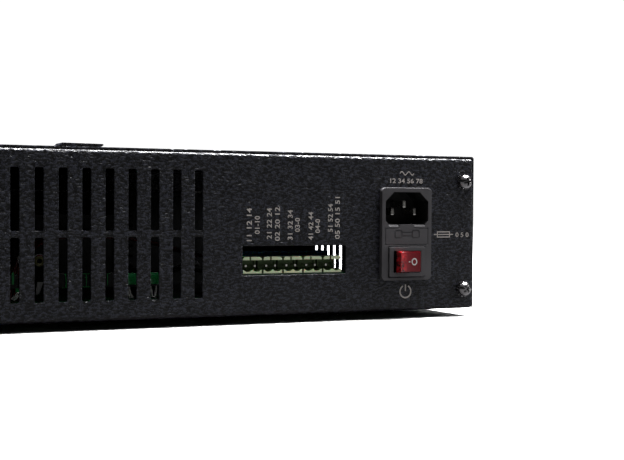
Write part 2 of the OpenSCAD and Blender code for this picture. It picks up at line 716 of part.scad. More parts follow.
module board_standoffs() {
    // the alarm board drops over pegs at the rear and is screwed down at the front
    peg = 4;
    color([0.8, 0.7, 0.4]) {
        for (x = alarm_holes_x) translate([x, deep(alarm_holes_deep[0]), alarm_board_top - board_t - peg])
            cylinder(h = peg + board_t - 0.1, r = m3_r);
        for (x = alarm_holes_x, d = alarm_holes_deep) translate([x, deep(d), floor_z]) difference() {
            cylinder(h = alarm_board_top - board_t - floor_z, r = standoff_r, $fn = 6);
            translate([0, 0, -1]) cylinder(h = 40, r = m3_r);
        }
        for (x = power_holes_x, d = power_holes_deep) translate([x, deep(d), floor_z]) difference() {
            cylinder(h = power_board_top - board_t - floor_z, r = standoff_r, $fn = 6);
            translate([0, 0, -1]) cylinder(h = 40, r = m3_r);
        }
    }
}

module inner_screws() {
    color([0.6, 0.6, 0.6]) {
        for (x = alarm_holes_x)
            translate([x, deep(alarm_holes_deep[1]), alarm_board_top]) pan_screw(m3_r, 2.8, 1.9, 6);
        for (x = power_holes_x, d = power_holes_deep)
            translate([x, deep(d), power_board_top]) pan_screw(m3_r, 2.8, 1.9, 3.8);
        for (s = [-1, 1]) translate([s * strap_hole_x, strap_y, floor_z + strap_t])
            pan_screw(m3_r, 2.8, 1.9, 4.5);
    }
}

// ---- power board ----
module power_board() {
    color([0.05, 0.28, 0.1]) difference() {
        span(power_board_x, [deep(power_board_deep[1]), deep(power_board_deep[0])],
            [power_board_top - board_t, power_board_top]);
        for (x = power_holes_x, d = power_holes_deep)
            translate([x, deep(d), power_board_top - 5]) cylinder(h = 10, r = m3_r + 0.1);
    }
}

film_x = [-36, -22.5, -9.5, 3.5, 15, 38.5];
film_deep = 11;
film_z = [16.2, 23.8];
module film_capacitors() {
    color([0.1, 0.42, 0.15]) for (x = film_x)
        span([x - 4.6, x + 4.6], [deep(film_deep + 3), deep(film_deep - 3)],
            [under_z + film_z[0], under_z + film_z[1]]);
}
module film_capacitor_leads() {
    color([0.8, 0.8, 0.78]) for (x = film_x, s = [-1, 1])
        translate([x + s * 2.1, deep(film_deep), power_board_top])
            cylinder(h = under_z + film_z[0] - power_board_top, r = 0.55);
}

transformer = [-8, 73];
module transformer_core() {
    color([0.15, 0.15, 0.16])
    translate([transformer[0], deep(transformer[1]), power_board_top]) difference() {
        translate([-24, -12, 0]) cube([48, 24, 42]);
        for (s = [-1, 1]) translate([s * 12.5 - 4.5, -20, 9]) cube([9, 40, 24]);
    }
}
module transformer_winding() {
    color([0.1, 0.1, 0.1])
    translate([transformer[0], deep(transformer[1]), power_board_top]) difference() {
        translate([-16.6, -20.2, 9.4]) cube([33.2, 40.4, 23.2]);
        translate([-8.2, -12.2, 0]) cube([16.4, 24.4, 60]);
    }
}

sink_h = 50;
module heatsink(x, d, length) {
    color([0.12, 0.12, 0.13]) translate([x, deep(d), power_board_top]) {
        cube([3, length, sink_h]);
        for (i = [0 : 7]) translate([-8, 0, 4 + i * 6]) cube([8 + eps, length, 1.6]);
    }
}
module rectifier_heatsink() { heatsink(-48, 190, 70); }
module transistor_heatsink() { heatsink(66, 190, 90); }

module power_transistors() {
    color([0.06, 0.06, 0.06]) {
        for (i = [0 : 2]) translate([-45, deep(180 - i * 22), power_board_top + 16]) cube([4.6, 15, 20]);
        for (i = [0 : 2]) translate([69, deep(180 - i * 26), power_board_top + 16]) cube([4.6, 15, 20]);
    }
}

module bulk_capacitors() {
    color([0.1, 0.1, 0.2]) for (y = [0, 27])
        translate([45, deep(62 + y), power_board_top]) cylinder(h = 45, r = 12.5);
}
module output_capacitors() {
    color([0.12, 0.1, 0.08]) for (i = [0 : 3])
        translate([-24 + i * 15, deep(200), power_board_top]) cylinder(h = 25, r = 6.3);
}
module output_choke() {
    color([0.75, 0.45, 0.2]) translate([8, deep(150), power_board_top + 7.5]) rotate_extrude()
        translate([14, 0]) circle(7.5);
}

// ---- batteries ----
battery_y = front_y + battery_front;
strap_y = battery_y + battery[1] / 2;
strap_hole_x = 168;
strap_t = 1.5;
module battery_block(s) {
    x0 = s > 0 ? battery_gap / 2 : -battery_gap / 2 - battery[0];
    color([0.15, 0.16, 0.2]) difference() {
        translate([x0, battery_y, floor_z]) cube(battery);
        // lid line around the case
        translate([x0 - 1, battery_y + battery[1] - 14, floor_z - 1]) difference() {
            cube([battery[0] + 2, 0.8, battery[2] + 2]);
            translate([1.6, -1, 1.6]) cube([battery[0] - 1.2, 3, battery[2] - 1.2]);
        }
    }
}
module battery_left() { battery_block(-1); }
module battery_right() { battery_block(1); }

tab_places = [for (s = [-1, 1], x = [20, 131]) s * (battery_gap / 2 + x)];
module battery_tabs() {
    color([0.75, 0.74, 0.7]) for (x = tab_places)
        translate([x - 3.15, battery_y + battery[1], floor_z + 12]) cube([6.3, 7, 0.8]);
}

module battery_strap() {
    half = battery_gap / 2 + battery[0] + 1;
    top = floor_z + battery[2] + 0.3;
    t = strap_t;
    color([0.5, 0.52, 0.55]) difference() {
        union() {
            span([-half - t, half + t], [strap_y - 12, strap_y + 12], [top, top + t]);
            for (s = [-1, 1]) {
                span(ordered(s * half, s * (half + t)), [strap_y - 12, strap_y + 12], [floor_z, top + eps]);
                span(ordered(s * half, s * (half + 22)), [strap_y - 12, strap_y + 12],
                    [floor_z, floor_z + t]);
            }
        }
        for (s = [-1, 1]) translate([s * strap_hole_x, strap_y, floor_z - 1]) cylinder(h = 5, r = 1.7);
    }
}
lead_y = battery_y + battery[1] + 7.6;
module positive_lead() {
    color([0.8, 0.05, 0.05]) {
        wire([[tab_places[3], lead_y, floor_z + 12.4], [tab_places[3], lead_y + 12, floor_z + 14],
            [124, lead_y + 30, 24], [104, lead_y + 38, 22], [88, lead_y + 38, 20],
            [76, lead_y + 33, power_board_top + 8], [74, lead_y + 31, power_board_top + 3],
            [74, lead_y + 31, power_board_top + 0.8]], 1.9);
        wire([[tab_places[2], lead_y, floor_z + 12.4], [tab_places[2], lead_y + 7, floor_z + 12.4],
            [0, lead_y + 10, floor_z + 12.4], [tab_places[0], lead_y + 7, floor_z + 12.4],
            [tab_places[0], lead_y, floor_z + 12.4]], 1.9);
    }
}
module negative_lead() {
    color([0.04, 0.04, 0.04]) wire([[tab_places[1], lead_y, floor_z + 12.4],
        [tab_places[1], lead_y + 12, floor_z + 14], [-122, lead_y + 30, 22], [-100, lead_y + 36, 16],
        [-80, lead_y + 34, 18], [-62, lead_y + 32, 20], [-54, lead_y + 27, power_board_top + 8],
        [-53, lead_y + 25, power_board_top + 3], [-53, lead_y + 25, power_board_top + 0.8]], 1.9);
}

// ---- front indicators and test button ----
board_in = 9;
module indicator_board() {
    spare = 6;
    wall_in = panel_t + sheet;
    color([0.05, 0.28, 0.1]) {
        difference() {
            span([indicator_x[0] - spare, indicator_x[1] + spare],
                [panel_y + board_in, panel_y + board_in + board_t],
                [indicator_z[0] + 1, indicator_z[1] - 1]);
            on_front(button_x, panel_mid_z) translate([0, 0, -board_in - 3]) cylinder(h = 4, r = 2.4);
        }
        // spacers against the front wall
        for (x = [indicator_x[0] - spare / 2, indicator_x[1] + spare / 2])
            on_front(x, panel_mid_z) translate([0, 0, -board_in - eps])
                cylinder(h = board_in - wall_in, r = 2.2);
    }
}

module indicator_leds() {
    color([0.2, 0.75, 0.3]) for (x = led_x) on_front(x, panel_mid_z) {
        translate([0, 0, -board_in]) cylinder(h = board_in + 0.6, r = led_r);
        translate([0, 0, 0.6]) sphere(led_r);
    }
}

module test_button() {
    stop_gap = 0.2;
    // pressed in, it still stands a little over the panel
    proud = button_travel + 0.5;
    color([0.5, 0.5, 0.5]) on_front(button_x, panel_mid_z) {
        translate([0, 0, -panel_t - stop_gap]) cylinder(h = panel_t + proud + stop_gap, r = button_r);
        translate([0, 0, -panel_t - stop_gap - 1]) cylinder(h = 1, r = button_r + 1.2);
        translate([0, 0, -board_in - 2.5]) cylinder(h = 8, r = 2);
    }
}

// ---- output side ----
block_poles = 4;
block_pitch = 13;
module output_block() {
    w = block_poles * block_pitch + 3;
    x0 = (out_window_x[0] + out_window_x[1]) / 2 - w / 2;
    color([0.08, 0.08, 0.08]) difference() {
        span([x0, x0 + w], [deep(24), deep(1.4)], [under_z + 22.6, under_z + 40]);
        for (i = [0 : block_poles - 1])
            translate([x0 + 2.5 + i * block_pitch, deep(12), under_z + 27]) cube([block_pitch - 2, 20, 30]);
    }
}
module output_block_screws() {
    w = block_poles * block_pitch + 3;
    x0 = (out_window_x[0] + out_window_x[1]) / 2 - w / 2;
    color([0.75, 0.74, 0.7]) for (i = [0 : block_poles - 1])
        translate([x0 + 2.5 + (i + 0.5) * block_pitch - 1, deep(6), under_z + 27]) {
            translate([0, 0, 0.6]) cube([9, 8, 1.2], center = true);
            translate([0, 0, 1.2]) pan_screw(1.6, 3.3, 2.2, 1.1);
        }
}

module earth_stud() {
    color([0.75, 0.72, 0.6]) on_rear(stud_x, stud_z) {
        translate([0, 0, -8]) cylinder(h = 14, r = 2);
        for (z = [-sheet - 3.2, 0]) translate([0, 0, z]) difference() {
            cylinder(h = 3.2, r = 4, $fn = 6);
            translate([0, 0, -1]) cylinder(h = 9, r = 1.9);
        }
    }
}

chassis_base();
top_cover();
cover_tab();
front_panel();
front_panel_screws();
handle_left();
handle_right();
handle_screws();
rubber_feet();
foot_screws();
rear_cover_screws();
rear_lock_washers();
bottom_screws();
inlet_housing();
inlet_pins();
switch_frame();
power_rocker();
switch_lamp();
switch_terminals();
fuse_drawer();
fuse_tubes();
fuse_caps();
spade_connectors();
mains_wires();
earth_wire();
alarm_header_1();
alarm_header_2();
alarm_header_3();
alarm_header_4();
alarm_header_5();
header_pins();
alarm_board();
signal_strip();
alarm_relays();
board_standoffs();
inner_screws();
power_board();
film_capacitors();
film_capacitor_leads();
transformer_core();
transformer_winding();
rectifier_heatsink();
transistor_heatsink();
power_transistors();
bulk_capacitors();
output_capacitors();
output_choke();
battery_left();
battery_right();
battery_tabs();
battery_strap();
signal_wires();
positive_lead();
negative_lead();
indicator_board();
indicator_leds();
test_button();
output_block();
output_block_screws();
earth_stud();
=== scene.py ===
"""Looks of the rack-mount UPS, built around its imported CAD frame.

Lengths are metres, unless a name or a comment says mm. The rear wall faces +y, and rear() gives places on it.
"""

import json
import math

import bmesh
import bpy
from mathutils import Matrix, Vector


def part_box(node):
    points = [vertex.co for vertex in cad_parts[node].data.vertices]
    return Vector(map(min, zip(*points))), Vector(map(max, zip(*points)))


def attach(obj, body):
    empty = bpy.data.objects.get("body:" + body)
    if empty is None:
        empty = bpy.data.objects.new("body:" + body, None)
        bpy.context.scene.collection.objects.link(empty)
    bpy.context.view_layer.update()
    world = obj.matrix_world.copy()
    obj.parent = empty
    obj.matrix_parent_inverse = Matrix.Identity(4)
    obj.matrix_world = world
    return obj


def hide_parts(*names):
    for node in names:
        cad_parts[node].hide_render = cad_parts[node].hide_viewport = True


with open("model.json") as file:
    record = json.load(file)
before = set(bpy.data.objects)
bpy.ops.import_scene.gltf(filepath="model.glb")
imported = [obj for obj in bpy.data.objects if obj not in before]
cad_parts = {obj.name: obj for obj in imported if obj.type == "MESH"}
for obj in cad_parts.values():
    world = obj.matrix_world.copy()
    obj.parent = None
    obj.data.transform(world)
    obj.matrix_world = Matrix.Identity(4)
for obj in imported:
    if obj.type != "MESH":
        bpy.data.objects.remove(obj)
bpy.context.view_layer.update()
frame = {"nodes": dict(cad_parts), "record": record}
MM = 0.001

# outer face of the rear wall, underside of the case, and the side next to the mains inlet
rear_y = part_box("chassis_base")[1].y
under_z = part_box("chassis_base")[0].z
side_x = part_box("top_cover")[0].x


def mm(*v):
    """A vector from measures in mm."""
    return Vector(v) * MM


def rear(edge, up, out=0.0):
    """A point at the rear wall: mm from the edge next to the inlet, up from the underside, and outwards."""
    return Vector((side_x + edge * MM, rear_y + out * MM, under_z + up * MM))


# mm, as in the CAD: the inlet's middle, the rocker's middle, and how far the flange stands out of the wall,
# the bezel out of the flange and the rocker out of the bezel
INLET_EDGE, INLET_UP = 45.15, 42.25
ROCKER_UP = INLET_UP - 15.2
FLANGE_THICK, BEZEL_PROUD, ROCKER_PROUD = 3, 0.8, 0.3


# ---- shader building ----


class Shader:
    """A Principled material with a few helpers for procedural detail in the object's own coordinates."""

    def __init__(self, name, color, rough, metal=0.0, **more):
        self.material = bpy.data.materials.new(name)
        self.material.use_nodes = True
        self.tree = self.material.node_tree
        self.tree.nodes.clear()
        out = self.tree.nodes.new("ShaderNodeOutputMaterial")
        self.surface = self.tree.nodes.new("ShaderNodeBsdfPrincipled")
        self.tree.links.new(self.surface.outputs[0], out.inputs[0])
        self.surface.inputs["Base Color"].default_value = (*color, 1)
        self.surface.inputs["Roughness"].default_value = rough
        self.surface.inputs["Metallic"].default_value = metal
        for k, v in more.items():
            self.surface.inputs[k.replace("_", " ")].default_value = v
        self.coord = self.tree.nodes.new("ShaderNodeTexCoord").outputs["Object"]
        self.color, self.normal = color, None

    def node(self, kind, inputs=None, **settings):
        n = self.tree.nodes.new(kind)
        for k, v in settings.items():
            setattr(n, k, v)
        for k, v in (inputs or {}).items():
            if isinstance(v, bpy.types.NodeSocket):
                self.tree.links.new(v, n.inputs[k])
            else:
                n.inputs[k].default_value = v
        return n

    def noise(self, scale, detail=2.0, rough=0.5, distortion=0.0, stretch=None):
        at = self.coord
        if stretch:
            at = self.node("ShaderNodeMapping", {"Vector": at, "Scale": stretch}).outputs[0]
        facts = {"Vector": at, "Scale": scale, "Detail": detail, "Roughness": rough, "Distortion": distortion}
        return self.node("ShaderNodeTexNoise", facts).outputs["Fac"]

    def cells(self, scale, smooth=0.4):
        facts = {"Vector": self.coord, "Scale": scale, "Smoothness": smooth}
        return self.node("ShaderNodeTexVoronoi", facts, feature="SMOOTH_F1").outputs["Distance"]

    def ramp(self, fac, low, high, to_low=0.0, to_high=1.0):
        """Brings a value between low and high to one between to_low and to_high."""
        facts = {"Value": fac, "From Min": low, "From Max": high, "To Min": to_low, "To Max": to_high}
        return self.node("ShaderNodeMapRange", facts).outputs[0]

    def blend_colors(self, fac, a, b):
        n = self.node("ShaderNodeMix", {0: fac}, data_type="RGBA")
        for i, c in ((6, a), (7, b)):
            if isinstance(c, bpy.types.NodeSocket):
                self.tree.links.new(c, n.inputs[i])
            else:
                n.inputs[i].default_value = (*c, 1)
        return n.outputs[2]

    def tint(self, color):
        """Takes a colour socket as the base colour."""
        self.tree.links.new(color, self.surface.inputs["Base Color"])
        return self

    def bump(self, height, depth):
        """Adds relief of a depth in metres on top of the relief that is there."""
        facts = {"Height": height, "Distance": depth, "Strength": 1.0}
        if self.normal is not None:
            facts["Normal"] = self.normal
        self.normal = self.node("ShaderNodeBump", facts).outputs[0]
        self.tree.links.new(self.normal, self.surface.inputs["Normal"])
        return self

    def vary(self, scale, other):
        """Mixes the base colour with another one in soft patches."""
        return self.tint(self.blend_colors(self.ramp(self.noise(scale, 3.0), 0.35, 0.65), self.color, other))

    def rough(self, scale, low, high):
        """Lets the roughness wander between low and high."""
        wander = self.ramp(self.noise(scale, 3.0), 0.3, 0.7, low, high)
        self.tree.links.new(wander, self.surface.inputs["Roughness"])
        return self


def wrinkle_coat(name, color, depth, rough):
    """Powder coat that dried in small wrinkles, each 1 to 3 mm long, whose crests carry a painted highlight
    that makes them lighter than the rest.
    """
    s = Shader(name, color, 0.42, Specular_IOR_Level=0.45)
    folds = s.noise(720, 0.5, 0.5, 0.5, (0.6, 1.0, 1.4))
    grains = s.noise(1700, 1.0)
    s.bump(folds, depth).bump(s.cells(1100, 0.6), depth * 0.25).bump(grains, depth * 0.2)
    s.rough(180, *rough)
    # painted highlight: the crests of the wrinkles are coloured up to 24 times lighter than the coat
    painted_highlight_tops = tuple(c * 24 for c in color)
    height = s.node("ShaderNodeMath", {0: folds, 1: grains}, operation="ADD").outputs[0]
    return s.tint(s.blend_colors(s.ramp(height, 0.96, 1.14), color, painted_highlight_tops)).material


def plastic(name, color, rough=0.42, grain=0.00003, **more):
    s = Shader(name, color, rough, **more)
    s.bump(s.noise(3200, 2), grain)
    s.rough(260, rough * 0.85, rough * 1.2)
    return s.vary(90, tuple(c * 0.82 for c in color)).material


def metal(name, color, rough=0.28, stain=None, grain=0.00001):
    s = Shader(name, color, rough, 1.0)
    s.bump(s.noise(1800, 3), grain)
    s.rough(420, rough * 0.7, rough * 1.35)
    return s.vary(300, stain or tuple(c * 0.7 for c in color)).material


def brushed(name, color, rough=0.34):
    s = Shader(name, color, rough, 1.0)
    s.bump(s.noise(900, 3, 0.6, 0, (0.05, 1, 1)), 0.00003)
    return s.rough(500, rough * 0.7, rough * 1.3).vary(160, tuple(c * 0.75 for c in color)).material


def circuit_board(name, color, track):
    s = Shader(name, color, 0.3, Coat_Weight=0.3)
    lines = s.node("ShaderNodeTexBrick", {"Vector": s.coord, "Scale": 160.0, "Mortar Size": 0.05})
    s.tint(s.blend_colors(lines.outputs["Fac"], color, track))
    return s.bump(lines.outputs["Fac"], 0.00004).material


def rocker_plastic():
    """Clear red plastic; the half that stands up is painted in dark and bright red patches: painted shade and
    light, mixed with the switch parts seen through it.
    """
    s = Shader("rocker_red", (0.2, 0.004, 0.008), 0.26, Transmission_Weight=0.2, IOR=1.45, Coat_Weight=0.15)
    x = s.node("ShaderNodeSeparateXYZ", {"Vector": s.coord}).outputs["X"]
    crease = rear(INLET_EDGE, 0).x
    # painted shade and light: the raised half gets dark and bright red patches in its colour, not from light
    # passing through the plastic
    raised_half = s.ramp(x, crease + 0.2 * MM, crease + 4.4 * MM)
    works_and_shade = s.ramp(s.noise(330, 3, 0.6, 0.5), 0.42, 0.58)
    inner = s.blend_colors(works_and_shade, (0.07, 0.002, 0.005), (0.6, 0.012, 0.02))
    s.tint(s.blend_colors(raised_half, (0.2, 0.004, 0.01), inner))
    return s.bump(s.noise(700, 2), 0.00002).material


BLACK = (0.0016, 0.0017, 0.0023)
MATERIALS = {
    "case_coat": wrinkle_coat("case_coat", BLACK, 0.00044, (0.29, 0.38)),
    "panel_coat": wrinkle_coat("panel_coat", BLACK, 0.0001, (0.42, 0.55)),
    "handle_black": brushed("handle_black", (0.09, 0.09, 0.095), 0.3),
    "screw_steel": metal("screw_steel", (0.3, 0.29, 0.3), 0.19, (0.25, 0.24, 0.25), 0.000002),
    "foot_rubber": plastic("foot_rubber", (0.012, 0.012, 0.012), 0.75, 0.00006),
    "inlet_plastic": plastic("inlet_plastic", (0.085, 0.081, 0.088), 0.5, 0.00005),
    # near black: the relay bodies' own colour, and painted shade where it covers the inlet's recess and the
    # cover screws' cross recesses
    "black_and_recess_shade": plastic("black_and_recess_shade", (0.004, 0.004, 0.004), 0.6, 0.00002),
    "pin_metal": metal("pin_metal", (0.95, 0.93, 0.88), 0.16, grain=0.0000002),
    "rocker_red": rocker_plastic(),
    "lamp_glass": plastic("lamp_glass", (0.9, 0.5, 0.35), 0.1, Transmission_Weight=0.6),
    "contact_brass": metal("contact_brass", (0.78, 0.6, 0.3), 0.3),
    "fuse_glass": plastic("fuse_glass", (0.9, 0.95, 0.95), 0.05, 0.000002, Transmission_Weight=0.95),
    "spade_red": plastic("spade_red", (0.45, 0.02, 0.015), 0.35),
    "wire_brown": plastic("wire_brown", (0.1, 0.035, 0.015), 0.38),
    "wire_green": plastic("wire_green", (0.16, 0.3, 0.02), 0.38),
    "wire_red": plastic("wire_red", (0.1, 0.004, 0.003), 0.4),
    "wire_black": plastic("wire_black", (0.012, 0.012, 0.012), 0.38),
    "header_green": plastic("header_green", (0.85, 0.97, 0.64), 0.3, 0.00002, Subsurface_Weight=0.15,
                            Subsurface_Scale=0.002),
    # painted shade: darker green for the insides of the headers' mouths
    "painted_socket_shade": plastic("painted_socket_shade", (0.12, 0.19, 0.07), 0.5, 0.00002),
    "board_green": circuit_board("board_green", (0.002, 0.03, 0.009), (0.006, 0.07, 0.022)),
    "strip_blue": plastic("strip_blue", (0.06, 0.55, 1.0), 0.3),
    "black_plastic": plastic("black_plastic", (0.008, 0.008, 0.009), 0.45),
    "film_green": plastic("film_green", (0.012, 0.24, 0.06), 0.26, 0.00004, Coat_Weight=0.35),
    "ferrite": plastic("ferrite", (0.012, 0.012, 0.013), 0.6, 0.00008),
    "tape_black": plastic("tape_black", (0.007, 0.007, 0.007), 0.4, 0.00006),
    "sink_anodised": brushed("sink_anodised", (0.012, 0.012, 0.014)),
    "sleeve_dark": plastic("sleeve_dark", (0.012, 0.014, 0.04), 0.25),
    "copper_wire": metal("copper_wire", (0.75, 0.3, 0.1), 0.3),
    "battery_case": plastic("battery_case", (0.012, 0.013, 0.016), 0.5, 0.0001),
    "strap_zinc": brushed("strap_zinc", (0.6, 0.6, 0.58)),
    "standoff_brass": metal("standoff_brass", (0.8, 0.62, 0.3), 0.3),
    "led_lens": plastic("led_lens", (0.05, 0.5, 0.12), 0.12, 0.000005, Transmission_Weight=0.4),
    "button_grey": plastic("button_grey", (0.1, 0.1, 0.105), 0.45),
    "print_grey": plastic("print_grey", (0.62, 0.57, 0.54), 0.6, 0.00012),
    "rib_green": plastic("rib_green", (0.014, 0.24, 0.06), 0.4),
    "cap_lid_green": plastic("cap_lid_green", (0.03, 0.36, 0.11), 0.3, Coat_Weight=0.3),
    "lead_tin": plastic("lead_tin", (0.85, 0.85, 0.83), 0.35, 0.00001),
    "loop_grey": plastic("loop_grey", (0.22, 0.22, 0.23), 0.4, 0.00001),
    "coil_enamel": plastic("coil_enamel", (0.08, 0.075, 0.012), 0.35),
    "mark_white": plastic("mark_white", (0.85, 0.84, 0.82), 0.4, 0.00002),
    "mark_teal": plastic("mark_teal", (0.1, 0.8, 0.9), 0.35),
    "pin_tip": metal("pin_tip", (0.95, 0.95, 0.93), 0.35),
}
SLOT_OF = {s["node"]: s["material_slot"] for s in frame["record"]["subparts"]}
BODY_OF = {n: b for b, ns in frame["record"]["behaviour"]["bodies"].items() for n in ns}


# ---- mesh building ----

SMOOTH_BELOW = math.radians(40)  # edges that bend less are shaded as one curved face
SHARP_ABOVE = math.radians(30)  # edges that bend more are rounded by soften()
FLAT_BELOW = math.radians(0.4)  # edges that bend less only divide a flat face


def add_object(name, bm, material, body="case"):
    """Makes a piece from a bmesh, shades its curved faces smooth, and lets it ride on a body."""
    for e in bm.edges:
        e.smooth = len(e.link_faces) != 2 or e.calc_face_angle(0) < SMOOTH_BELOW
    for f in bm.faces:
        f.smooth = True
    mesh = bpy.data.meshes.new(name)
    bm.to_mesh(mesh)
    bm.free()
    mesh.materials.append(MATERIALS[material])
    piece = bpy.data.objects.new(name, mesh)
    bpy.context.scene.collection.objects.link(piece)
    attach(piece, body)
    return piece


def soften(node, width_mm):
    """A copy of a CAD node with its sharp edges rounded, shown in place of the node."""
    bm = bmesh.new()
    bm.from_mesh(frame["nodes"][node].data)
    bmesh.ops.remove_doubles(bm, verts=bm.verts, dist=0.002 * MM)
    bmesh.ops.dissolve_limit(bm, angle_limit=FLAT_BELOW, verts=bm.verts, edges=bm.edges)
    sharp = [e for e in bm.edges if len(e.link_faces) == 2 and e.calc_face_angle(0) > SHARP_ABOVE]
    bmesh.ops.bevel(bm, geom=sharp, offset=width_mm * MM, segments=2, profile=0.5, affect="EDGES",
                    clamp_overlap=False)
    piece = add_object(node + "_skin", bm, SLOT_OF[node], BODY_OF[node])
    shading = piece.modifiers.new("flat_faces_stay_flat", "WEIGHTED_NORMAL")
    shading.mode, shading.weight, shading.keep_sharp = "FACE_AREA", 50, True
    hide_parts(node)
    return piece


def paint(node):
    """Gives a CAD node the material of its slot. The node's shape stays as it was packed."""
    materials = frame["nodes"][node].data.materials
    materials.clear()
    materials.append(MATERIALS[SLOT_OF[node]])


for name in frame["nodes"]:
    paint(name)

HEADERS = [f"alarm_header_{i}" for i in range(1, 6)]
SOFT_EDGES_MM = {
    "chassis_base": 0.5, "top_cover": 0.3, "cover_tab": 0.12, "front_panel": 0.5,
    "inlet_housing": 0.25, "switch_frame": 0.22, "fuse_drawer": 0.12, "inlet_pins": 0.6, "power_rocker": 0.45,
    "rear_cover_screws": 0.12, "rear_lock_washers": 0.1, "bottom_screws": 0.1,
    "signal_strip": 0.15, "test_button": 0.3, "output_block": 0.3, "earth_stud": 0.2,
    **dict.fromkeys(HEADERS, 0.16),
}
skins = {node: soften(node, width_mm) for node, width_mm in SOFT_EDGES_MM.items()}


def repaint(piece, material, inside):
    """Gives another material to the faces of a piece whose middle and normal pass a test."""
    piece.data.materials.append(MATERIALS[material])
    for face in piece.data.polygons:
        if inside(face.center, face.normal):
            face.material_index = 1


# mm: the plug's recess from the inlet's middle, the mouths of the headers, and the cover screws' recesses
RECESS_HALF_WIDE, RECESS_OVER_MIDDLE = 13.55, (5.0, 23.2)
SOCKET_DEEPER_THAN, SOCKET_UP = 2.2, (22.3, 30.2)
SCREW_EDGES, SCREW_UPS, SCREW_RECESS_REACH = (7, 433), (11.1, 71.4), 1.9


def in_inlet_recess(at, normal):
    """Walls and floor of the recess that takes the plug, but not the flange's front face round it."""
    low = rear(INLET_EDGE - RECESS_HALF_WIDE, INLET_UP + RECESS_OVER_MIDDLE[0])
    high = rear(INLET_EDGE + RECESS_HALF_WIDE, INLET_UP + RECESS_OVER_MIDDLE[1], FLANGE_THICK - 0.3)
    front_face = abs(normal.y) > 0.9 and at.y > rear(0, 0, FLANGE_THICK - 1).y
    return low.x < at.x < high.x and low.z < at.z < high.z and at.y < high.y and not front_face


def in_header_socket(at, normal):
    """Everything in the mouth of a header, between its lower and upper wall."""
    low, high = rear(0, SOCKET_UP[0]), rear(0, SOCKET_UP[1], -SOCKET_DEEPER_THAN)
    return at.y < high.y and low.z < at.z < high.z


def in_screw_recess(at, normal):
    """The cross recess of a cover screw: near the screw's axis, and not facing straight out."""
    for middle in (rear(edge, up) for edge in SCREW_EDGES for up in SCREW_UPS):
        near = math.hypot(at.x - middle.x, at.z - middle.z) < SCREW_RECESS_REACH * MM
        if near and at.y > middle.y and normal.y < 0.72:
            return True
    return False


# painted shade: the inlet's recess and the cover screws' cross recesses are painted near black
repaint(skins["inlet_housing"], "black_and_recess_shade", in_inlet_recess)
repaint(skins["rear_cover_screws"], "black_and_recess_shade", in_screw_recess)
# painted shade in the headers' mouths
for header in HEADERS:
    repaint(skins[header], "painted_socket_shade", in_header_socket)

# ---- printed marks: numbers and common signs in place of the words in the photograph ----

UP_THE_WALL = Matrix(((0, 1, 0), (0, 0, 1), (1, 0, 0)))  # reads upwards, letter tops to the left from behind
ALONG_THE_WALL = Matrix(((-1, 0, 0), (0, 0, 1), (0, 1, 0)))
INK_MM = 0.06
TERMINAL_DIGIT_MM, INLET_DIGIT_MM = 2.85, 2.6
DIGIT_RISE = 0.73  # height of the font's digits, as a share of its size
TEXT_HALF_THICK = 0.01  # before the text is brought to size


def numerals(name, text, place, height_mm, length_mm, turn):
    """Digits as thin raised print, drawn out to a length; place is the middle of their lower edge."""
    data = bpy.data.curves.new(name, "FONT")
    data.body, data.align_x, data.size = text, "CENTER", 1.0
    data.extrude, data.resolution_u, data.offset = TEXT_HALF_THICK, 3, 0.012
    writing = bpy.data.objects.new(name, data)
    bpy.context.scene.collection.objects.link(writing)
    bpy.context.view_layer.update()
    mesh = bpy.data.meshes.new_from_object(writing.evaluated_get(bpy.context.evaluated_depsgraph_get()))
    bpy.data.objects.remove(writing)
    bm = bmesh.new()
    bm.from_mesh(mesh)
    bmesh.ops.remove_doubles(bm, verts=bm.verts, dist=1e-4)
    left, right = min(v.co.x for v in bm.verts), max(v.co.x for v in bm.verts)
    size_mm = height_mm / DIGIT_RISE
    for v in bm.verts:
        along = ((v.co.x - left) / (right - left) - 0.5) * length_mm
        out = (v.co.z + TEXT_HALF_THICK) / (2 * TEXT_HALF_THICK) * INK_MM
        v.co = place + turn @ mm(along, v.co.y * size_mm, out)
    return add_object(name, bm, "print_grey")


def prism(bm, outline, place, turn, thick_mm=INK_MM, inner=None):
    """Extrudes a flat outline in mm, or the ring between two outlines, standing on place."""
    def ring(points, up):
        return [bm.verts.new(place + turn @ mm(x, y, up)) for x, y in points]

    low, high = ring(outline, 0), ring(outline, thick_mm)
    n = len(outline)
    for i in range(n):
        bm.faces.new((low[i], low[(i + 1) % n], high[(i + 1) % n], high[i]))
    if inner is None:
        bm.faces.new(high)
        bm.faces.new(low[::-1])
        return
    low_in, high_in = ring(inner, 0), ring(inner, thick_mm)
    for i in range(n):
        j = (i + 1) % n
        bm.faces.new((low_in[j], low_in[i], high_in[i], high_in[j]))
        bm.faces.new((high[i], high[j], high_in[j], high_in[i]))
        bm.faces.new((low[j], low[i], low_in[i], low_in[j]))


def bar(x0, y0, x1, y1):
    """A rectangle between two opposite corners."""
    return [(x0, y0), (x1, y0), (x1, y1), (x0, y1)]


def arc(radius, start, stop, n):
    """Points from one angle to another, in degrees."""
    steps = (math.radians(start + (stop - start) * i / n) for i in range(n + 1))
    return [(radius * math.cos(a), radius * math.sin(a)) for a in steps]


def oval(middle, half_wide, half_high, n=32):
    """Points all round an oval whose middle is on the x axis."""
    steps = (math.tau * i / n for i in range(n))
    return [(middle + half_wide * math.cos(a), half_high * math.sin(a)) for a in steps]


def signs(name, shapes, place, turn=ALONG_THE_WALL, material="print_grey", body="case", slot="case_coat"):
    """One piece from several flat outlines, or pairs of outer and inner outline."""
    bm = bmesh.new()
    for shape in shapes:
        outer, inner = shape if isinstance(shape, tuple) else (shape, None)
        prism(bm, outer, place, turn, inner=inner)
    bmesh.ops.recalc_face_normals(bm, faces=bm.faces)
    return add_object(name, bm, material, body)


